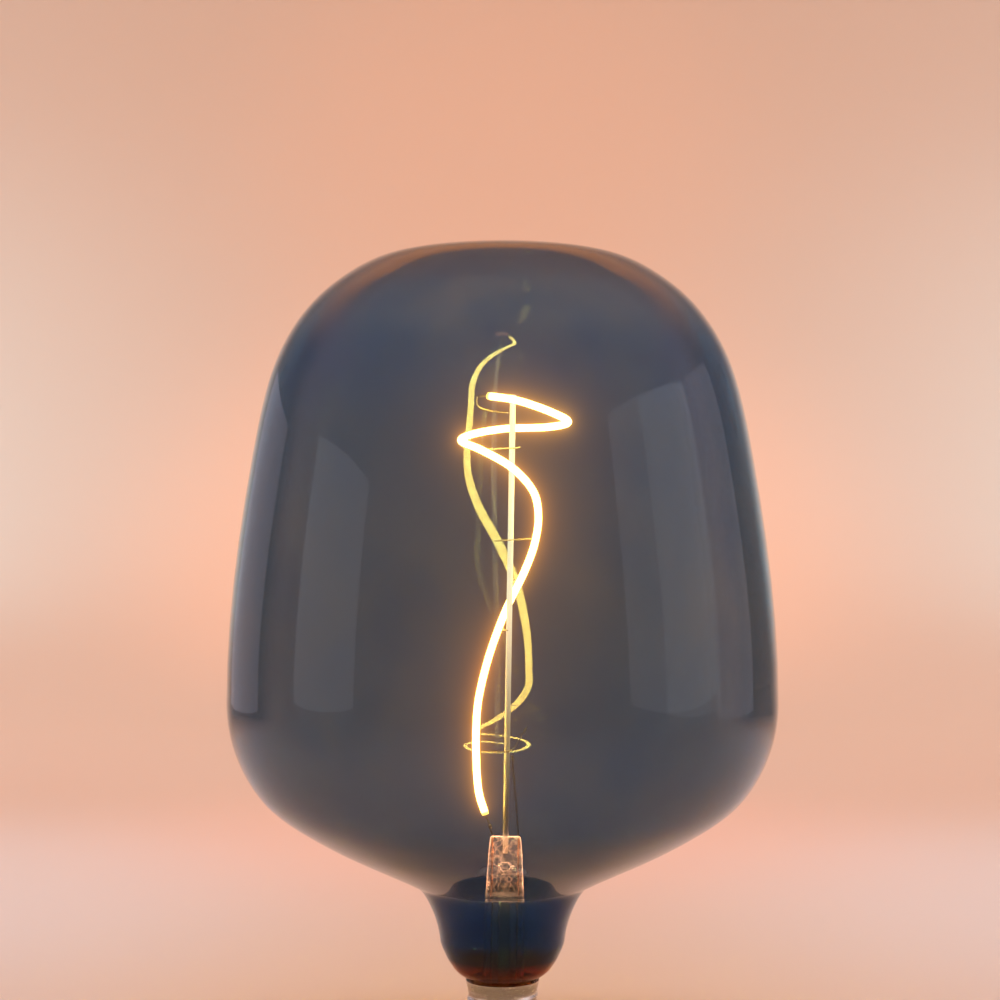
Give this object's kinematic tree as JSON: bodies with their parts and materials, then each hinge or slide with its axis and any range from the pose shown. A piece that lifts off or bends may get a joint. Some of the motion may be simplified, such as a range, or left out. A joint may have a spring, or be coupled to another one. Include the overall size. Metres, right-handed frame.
{
  "type": "smart filament lamp",
  "caption": "Very large flat-topped smoked-glass lamp with a wound flexible LED filament on a tall post, a screw cap and a wireless driver board inside the cap.",
  "frame": {"origin": "centre of the flat face of the base contact, on the axis of the globe and the screw cap", "axes": "+Z along the lamp's axis from the cap to the crown, +X to the right of its front, +Y to its back"},
  "size_m": [0.2, 0.2, 0.2935],
  "materials": {
    "smoked_glass": "thin blown glass with a smoky blue-grey metallised coating, glossy",
    "stem_glass": "clear pressed lead glass, glossy, slightly wavy",
    "nickel_post": "nickel-plated steel tube, satin",
    "nickel_wire": "drawn nickel wire, satin, heat-tinted near the welds",
    "led_filament": "warm white phosphor-coated flexible filament, lit",
    "solder": "dull tin solder",
    "copper_wire": "bare copper wire",
    "cap_metal": "rolled nickel-plated sheet, bright with fine roll marks",
    "black_insulator": "glossy black vitrified insulator",
    "cement": "baked capping cement, matt and grainy",
    "circuit_board": "green solder mask over glass-fibre board",
    "tin_can": "pressed tinned shielding can",
    "black_resin": "moulded black epoxy",
    "capacitor_sleeve": "shrunk dark sleeve over an aluminium can",
    "resistor_coat": "pale blue resistor lacquer"
  },
  "bodies": {
    "root": {"glass_envelope": "smoked_glass", "stem_glass": "stem_glass", "exhaust_tube": "stem_glass", "support_post": "nickel_post", "led_filament": "led_filament", "filament_tab_lower": "nickel_wire", "filament_tab_upper": "nickel_wire", "weld_bead": "solder", "top_hook_wire": "nickel_wire", "support_wire_1": "nickel_wire", "support_wire_2": "nickel_wire", "support_wire_3": "nickel_wire", "support_wire_4": "nickel_wire", "inner_lead_left": "nickel_wire", "inner_lead_right": "nickel_wire", "outer_lead_left": "copper_wire", "outer_lead_right": "copper_wire", "screw_shell": "cap_metal", "cap_insulator": "black_insulator", "centre_contact": "solder", "capping_cement": "cement", "driver_board": "circuit_board", "wireless_module": "tin_can", "bridge_rectifier": "black_resin", "driver_chip": "black_resin", "smoothing_capacitor": "capacitor_sleeve", "inductor": "black_resin", "fusible_resistor": "resistor_coat", "contact_wire": "copper_wire", "shell_wire": "copper_wire"}
  },
  "joints": []
}
